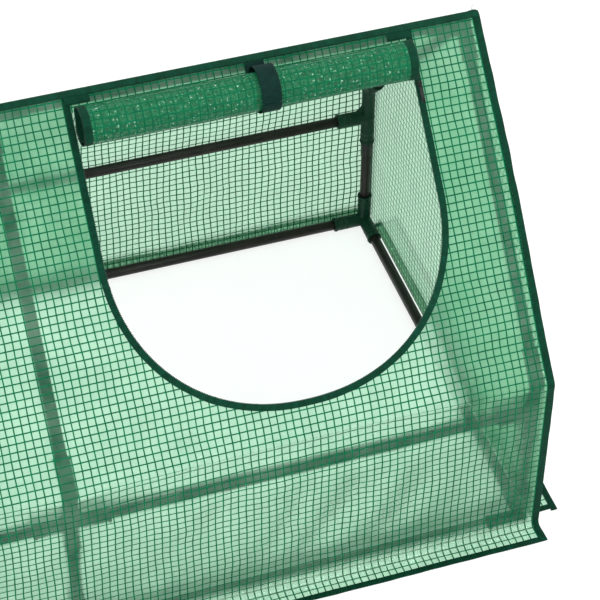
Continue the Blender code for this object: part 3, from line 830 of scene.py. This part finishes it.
def slope_cut(sign):
    """Flat pattern of one bay of the front slope, with the window cut out."""
    edge = [(x, v) for x, v, _, _ in window_outline(sign)]
    columns, rows = steps(0, SHEET_X, PITCH), steps(V_SLOPE - 0.004, V_WALL, PITCH)
    outer = ([(x, rows[0]) for x in columns] + [(SHEET_X, v) for v in rows[1:]]
             + [(x, rows[-1]) for x in columns[-2::-1]] + [(0, v) for v in rows[-2:0:-1]])
    outer = [(sign * x, v) for x, v in outer]
    points = [Vector(p) for p in outer + edge]
    count = len(outer)
    lines = [(i, (i + 1) % count) for i in range(count)]
    lines += [(count + i, count + (i + 1) % len(edge)) for i in range(len(edge))]
    near = PITCH * 0.35
    for x in columns[1:-1]:
        for v in rows[1:-1]:
            inside = abs(x - WINDOW_X) < window_half_width(v - V_SLOPE) and v > V_SLOPE + WINDOW_TOP
            if not inside and (window_distance(x, v - V_SLOPE) > near or v < V_SLOPE + WINDOW_TOP - near):
                points.append(Vector((sign * x, v)))
    verts, _, faces, _, _, _ = geometry.delaunay_2d_cdt(points, lines, [], 0, 1e-7)
    kept = []
    for face in faces:
        middle_x = sum(verts[i].x for i in face) / 3 * sign
        s = sum(verts[i].y for i in face) / 3 - V_SLOPE
        if abs(middle_x - WINDOW_X) >= window_half_width(s):
            kept.append(tuple(face) if sign < 0 else tuple(face[::-1]))
    return [(v.x, v.y) for v in verts], kept


def runs_between(low, high, fixed, lengthwise):
    """A thread's pattern points from low to high, stopping at every crossing."""
    stops = [low, *grid_stops(low, high), high]
    if lengthwise:
        return [(fixed, b) for b in stops], (1.0, 0.0)
    return [(a, fixed) for a in stops], (0.0, 1.0)


def slope_threads(sign):
    runs = []
    v0, v1 = V_SLOPE - 0.002, V_WALL
    for x in grid_stops(0, SHEET_X):
        across = abs(x - WINDOW_X) / WINDOW_R
        if across < 1:
            low = V_SLOPE + WINDOW_ROUND + rounded(across, WINDOW_R)
            runs.append(runs_between(v0, V_SLOPE + WINDOW_TOP, sign * x, True))
            runs.append(runs_between(low, v1, sign * x, True))
        else:
            runs.append(runs_between(v0, v1, sign * x, True))
    for v in grid_stops(v0, v1):
        half = window_half_width(v - V_SLOPE)
        spans = [(0.0, WINDOW_X - half), (WINDOW_X + half, SHEET_X)] if half else [(0.0, SHEET_X)]
        for x0, x1 in spans:
            low, high = sorted((sign * x0, sign * x1))
            runs.append(runs_between(low, high, v, False))
    return runs


def raised(x, v, h=0.0):
    """A point of something that is sewn on top of the cover, by the window's seam."""
    return cover(x, v, h + 0.0017)


def add_front_slopes():
    for bay, sign in (("left", -1), ("right", 1)):
        cut, faces = slope_cut(sign)
        film = film_piece(f"film_front_slope_{bay}", cut, faces, cover, "root", [f"front_slope_{bay}"])
        threads = scrim(f"scrim_front_slope_{bay}", slope_threads(sign), cover, "root")
        edging = tape(f"window_binding_{bay}", window_outline(sign, FINE, -0.003), cover, "root",
                      replaced=[f"binding_window_{bay}"])
        outline = window_outline(sign, FINE)
        row = teeth(f"window_teeth_{bay}", outline, cover, "root")
        for end, way in (("inner", -1), ("outer", 1)):
            a = sign * (WINDOW_X + way * (WINDOW_R - 0.036))
            curve = [(a + sign * way * along, V_SLOPE + 0.0105, 0.0, -1.0)
                     for along in steps(0, 0.044, 0.004)]
            tape(f"corner_patch_{end}_{bay}", curve, raised, "root",
                                width=0.020, thick=0.0020)
        declare(cut, faces)


def rectangle(v0, v1, side):
    """Flat pattern of a panel over both bays, with its columns in line with the slope's."""
    half = steps(0, SHEET_X, PITCH)
    columns = [-x for x in half[:0:-1]] + half
    cut, faces = rows_cut([[(x, v) for x in columns] for v in steps(v0, v1, PITCH)])
    return cut, (faces if side < 0 else [face[::-1] for face in faces])


def rectangle_threads(v0, v1):
    runs = [runs_between(v0, v1, x, True) for x in grid_stops(-SHEET_X, SHEET_X)]
    return runs + [runs_between(-SHEET_X, SHEET_X, v, False) for v in grid_stops(v0, v1)]


def add_wall_and_rear():
    reach = SHEET_X + 0.0105
    for name, node_name, side, v0 in (("front_wall", "front_wall", -1, V_WALL),
                                      ("rear", "rear_sheet", 1, -V_SLOPE)):
        def lay(x, v, h=0.0, side=side):
            return cover(x, v, h, side)
        cut, faces = rectangle(v0, V_EDGE, side)
        film = film_piece(f"film_{name}", cut, faces, lay, "root", [node_name])
        threads = scrim(f"scrim_{name}", rectangle_threads(v0, V_EDGE), lay, "root")
        curve = [(x, V_EDGE - HEM_SET, 0.0, 1.0) for x in steps(-reach, reach, HEM_STEP)]
        hem = tape(f"hem_{name}", curve, lay, "root", width=HEM, thick=HEM_THICK, wavy=HEM_WAVE)
        declare(cut, faces)


def add_ridge_binding():
    reach = SHEET_X + BINDING
    curve = [(x, -0.0015, 0.0, 1.0) for x in steps(-reach, reach, EDGE_STEP)]

    def lay(x, v, h=0.0):
        return cover(x, v, h + 0.0021, -1)
    tape("ridge_binding", curve, lay, "root", width=0.0132, replaced=["binding_ridge"])


def add_gables():
    low = -(BEND * pi / 2 + SIDE_SKIRT - BEND)
    top = RIDGE_Z + OFFSET - BEND - FLOOR
    for bay, sign in (("left", -1), ("right", 1)):
        def lay(y, w, h=0.0, sign=sign):
            return gable(y, w, h, sign)

        def half_at(w):
            return gable_half_width(w + BEND + FLOOR) if w >= 0 else SIDE_SKIRT_Y
        count = int(2 * WALL_Y / PITCH)
        heights = steps(low, 0, PITCH)[:-1] + [-0.0006, 0.0] + steps(0, top - 0.0005, PITCH)[1:]
        rows = [[(half_at(w) * (2 * i / count - 1), w) for i in range(count + 1)] for w in heights]
        cut, faces = rows_cut(rows)
        faces = faces if sign < 0 else [face[::-1] for face in faces]
        film = film_piece(f"film_gable_{bay}", cut, faces, lay, "root", [f"gable_{bay}"])
        runs = []
        for y in grid_stops(-WALL_Y, WALL_Y):
            bottom = low if abs(y) < SIDE_SKIRT_Y else 0.0
            above = SHOULDER_Z + OFFSET + (WALL_Y - abs(y)) * sin(SLOPE) / cos(SLOPE)
            while gable_half_width(above) < abs(y):
                above -= 0.001
            runs.append(runs_between(bottom, above - BEND - FLOOR, y, True))
        for w in grid_stops(low, top):
            runs.append(runs_between(-half_at(w), half_at(w), w, False))
        threads = scrim(f"scrim_gable_{bay}", runs, lay, "root")
        reach = SIDE_SKIRT_Y + 0.009
        curve = [(y, low + HEM_SET, 0.0, -1.0) for y in steps(-reach, reach, HEM_STEP)]
        hem = tape(f"hem_gable_{bay}", curve, lay, "root", width=HEM, thick=HEM_THICK, wavy=HEM_WAVE)
        for end, way in (("front", -1), ("rear", 1)):
            curve = [(way * (SIDE_SKIRT_Y - HEM_SET), w, way * 1.0, 0.0)
                     for w in steps(low + 0.004, -0.004, 0.004)]
            tape(f"skirt_end_{end}_{bay}", curve, lay, "root")
        declare(cut, faces)

        reach = V_EDGE + 0.004
        start = SHEET_X - 0.0008
        curve = [(sign * start, v, sign * 1.0, 0.0) for v in steps(-reach, reach, EDGE_STEP)]
        tape(f"edge_binding_{bay}", curve, cover, "root", width=0.0142, wavy=HEM_WAVE,
             replaced=[f"binding_gable_{bay}"])


# ---- flaps ----
def flap_half_width(q):
    return rounded(max(HINGE + q - WINDOW_ROUND, 0.0) / FLAP_R, FLAP_R)


def flap_outline(size):
    """The flap's U from the seam, round and back, with the way inwards across its edge tape."""
    outline = u_outline(FLAP_R, 0, WINDOW_ROUND - HINGE, size)
    return [(x, q, -da, -db) for x, q, da, db in outline]


def add_flap(bay, lay, body, replaced, kind, tape_width, fine):
    """A flap with its threads, edge tape and teeth. fine is the spacing of its points down the flap."""
    straight = WINDOW_ROUND - HINGE
    rows_at = steps(0, straight, fine) + [straight + FLAP_R * sin(pi / 2 * i / 36) for i in range(1, 36)]
    rows_at = sorted(set(rows_at + steps(straight, FLAP_LENGTH - 0.002, fine)))
    columns = 44
    rows = [[(flap_half_width(q) * (2 * i / columns - 1), q) for i in range(columns + 1)] for q in rows_at]
    cut, faces = rows_cut(rows)
    film = film_piece(f"film_flap_{bay}", cut, faces, lay, body, replaced, kind)
    runs = []
    for x in grid_stops(-FLAP_R, FLAP_R):
        low = straight + rounded(abs(x) / FLAP_R, FLAP_R)
        runs.append(([(x, q) for q in steps(0, low, fine)], (1.0, 0.0)))
    for q in grid_stops(0, FLAP_LENGTH):
        half = flap_half_width(q)
        runs.append(([(x, q) for x in steps(-half, half, PITCH)], (0.0, 1.0)))
    threads = scrim(f"scrim_flap_{bay}", runs, lay, body)
    outline = flap_outline(min(fine, FINE))
    edging = tape(f"flap_binding_{bay}", outline, lay, body, width=tape_width, thick=0.0018)
    row = teeth(f"flap_teeth_{bay}", outline, lay, body)
    declare(cut, faces)


def closed(x, q, h=0.0):
    """A point of the closed flap, which bellies in a little between its zipped edges."""
    s = HINGE + q
    away = max(flap_half_width(q) - abs(x), 0.0)
    belly = -0.0065 * smooth(away, 0.0, 0.16) * smooth(q, 0.0, 0.15) * smooth(FLAP_LENGTH - q, 0.0, 0.15)
    ripple = 0.0016 * wave(x, q, 0.09, 6) * smooth(away, 0.01, 0.08)
    return slope_point(x - WINDOW_X, s, belly + ripple + h)


# ---- straps ----
def ribbon(name, spine, lay, body, replaced):
    """A woven ribbon along a (u, n) spine, with a thicker selvedge on both edges."""
    upper = [(-0.5, 0.2), (-0.47, 1.0), (-0.43, 0.72), (-0.2, 0.8), (0.0, 0.84), (0.2, 0.8), (0.43, 0.72),
             (0.47, 1.0), (0.5, 0.2)]
    outline = upper + [(part, -height) for part, height in upper[::-1]]
    ring_size = len(outline)
    points, uvs = [], []
    reach = [0.0]
    for a, b in zip(spine, spine[1:]):
        reach.append(reach[-1] + (b - a).length)
    for i, here in enumerate(spine):
        way = (spine[min(i + 1, len(spine) - 1)] - spine[max(i - 1, 0)]).normalized()
        out = Vector((-way.y, way.x))
        for part, height in outline:
            spot = here + out * height * STRAP_THICK / 2
            points.append(lay(part * STRAP_WIDTH, spot.x, spot.y))
    for near, far in zip(reach, reach[1:]):
        for k in range(ring_size):
            low, high = k * STRAP_WIDTH / 8, (k + 1) * STRAP_WIDTH / 8
            uvs += [(near, low), (near, high), (far, high), (far, low)]
    uvs += [(0.0, 0.0)] * 2 * ring_size
    faces = bar(0, len(spine), ring_size)
    made = add_piece(name, points, faces, ["strap"], body, replaced, uvs)


def add_straps():
    centre = ROLL_CENTRE
    wrap = ROLL_R + THREAD_THICK + STRAP_THICK / 2 + 0.0016
    meet = atan2(centre.y, centre.x) + 0.22

    def over_roll(x, u, n):
        return slope_point(STRAP_X + x, HINGE - u, n)

    def tail(foot, side, end):
        """From a foot at the seam straight to the roll, and round it up to an angle."""
        towards = centre - foot
        touch = atan2(-towards.y, -towards.x) - side * acos(wrap / towards.length)
        if side < 0 and touch < end:
            touch += 2 * pi
        turns = [touch + (end - touch) * i / 36 for i in range(37)]
        arc = [centre + wrap * Vector((cos(turn), sin(turn))) for turn in turns]
        return [foot + (arc[0] - foot) * i / 6 for i in range(6)] + arc
    ribbon("strap_outer_right", tail(Vector((-0.001, 0.0034)), 1, meet), over_roll, "rolled_flap_strap",
           ["roll_strap_right"])
    ribbon("strap_inner_right", tail(Vector((-0.0028, -0.0034)), -1, meet + 0.05), over_roll, "rolled_flap",
           ["roll_strap_inner_right"])
    flat = [Vector((HINGE - s, 0.0011)) for s in steps(-0.002, HINGE - 0.0065, 0.003)]
    for bay, sign in (("right", 1), ("left", -1)):
        def on_strip(x, u, n, sign=sign):
            return slope_point(sign * STRAP_X + x, HINGE - u, n)
        ribbon(f"strap_top_{bay}", flat, on_strip, "root", ())

    def hanging(x, y, z):
        return Vector((x - STRAP_X, y, z))
    lying = [Vector((-0.003 - STRAP_LENGTH * i / 40, 0.0026 + 0.0012 * sin(i * 0.35) * sin(pi * i / 40)))
             for i in range(40)]
    ribbon("strap_outer_left", lying, lambda x, u, n: slope_point(x - STRAP_X, HINGE - u, n),
           "closed_flap_strap", ["roll_strap_left"])
    top = middle("roll_strap_inner_left").y, box("roll_strap_inner_left")[1].z
    drop = [Vector((top[0] + 0.004 * sin(i * 0.16) * i / 40, top[1] - (STRAP_LENGTH - 0.002) * i / 40))
            for i in range(41)]
    ribbon("strap_inner_left", drop, hanging, "inner_strap", ["roll_strap_inner_left"])


def dress_small_parts():
    """The zip sliders and pulls keep the CAD's shape, with softer edges."""
    for bay in ("left", "right"):
        for kind in ("zip_slider", "zip_pull"):
            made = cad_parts[f"{kind}_{bay}"]
            made.data.materials.clear()
            made.data.materials.append(MATERIALS["slider"])
            bevel = made.modifiers.new("soft_edges", "BEVEL")
            bevel.width, bevel.segments, bevel.limit_method = 0.0004, 2, "ANGLE"


# ---- studio ----
def add_studio():
    mesh = bpy.data.meshes.new("floor")
    size = 9.0
    corners = [(-size, -size, 0), (size, -size, 0), (size, size, 0), (-size, size, 0)]
    mesh.from_pydata(corners, [], [(0, 1, 2, 3)])
    mesh.materials.append(MATERIALS["floor"])
    shader = MATERIALS["floor"].node_tree.nodes["Principled BSDF"]
    shader.inputs["Emission Color"].default_value = (1, 1, 1, 1)
    shader.inputs["Emission Strength"].default_value = 0.79
    in_scene("floor", mesh)
    world = bpy.data.worlds.new("studio")
    world.use_nodes = True
    world.node_tree.nodes["Background"].inputs["Color"].default_value = (1, 1, 1, 1)
    world.node_tree.nodes["Background"].inputs["Strength"].default_value = 0.75
    bpy.context.scene.world = world
    aim = Vector((0.2, 0, 0.4))
    for name, at, width, height, power in (
            ("key", (-2.6, -2.2, 3.4), 1.6, 1.6, 60), ("top", (0.6, 0.8, 4.2), 2.5, 1.6, 45),
            ("rim", (2.8, 0.4, 2.2), 0.5, 1.6, 22), ("strip_left", (0.55, -3.3, 2.4), 0.16, 1.6, 26),
            ("strip_right", (2.6, -2.6, 3.0), 0.16, 1.6, 26),
            ("strip_high", (0.9, -2.2, 3.9), 1.6, 0.14, 24)):
        data = bpy.data.lights.new(name, "AREA")
        data.shape, data.size, data.size_y, data.energy = "RECTANGLE", width, height, power
        light = in_scene(name, data)
        light.location = at
        light.rotation_mode = "QUATERNION"
        light.rotation_quaternion = (aim - Vector(at)).to_track_quat("-Z", "Y")


def add_camera():
    azimuth, elevation, roll = 0.33543, 0.76427, 0.01551
    forward = Vector((sin(azimuth) * cos(elevation), cos(azimuth) * cos(elevation), -sin(elevation)))
    level = Vector((cos(azimuth), -sin(azimuth), 0))
    above = level.cross(forward)
    right = cos(roll) * level + sin(roll) * above
    up = -sin(roll) * level + cos(roll) * above
    data = bpy.data.cameras.new("camera")
    data.lens, data.sensor_width = 140.5, 36.0
    camera = in_scene("camera", data)
    turn = Matrix((right, up, -forward)).transposed().to_4x4()
    camera.matrix_world = Matrix.Translation((-0.51806, -3.15008, 3.46881)) @ turn
    bpy.context.scene.camera = camera
    bpy.context.scene.view_settings.view_transform = "Standard"


add_camera()
add_studio()
add_frame()
add_front_slopes()
add_wall_and_rear()
add_ridge_binding()
add_gables()
add_flap("left", closed, "closed_flap", ["window_flap_left"], "film", BINDING, PITCH)
add_flap("right", rolled, "rolled_flap", ["window_roll_right"], "rolled_film", ROLLED_BINDING, FINE)
add_straps()
dress_small_parts()
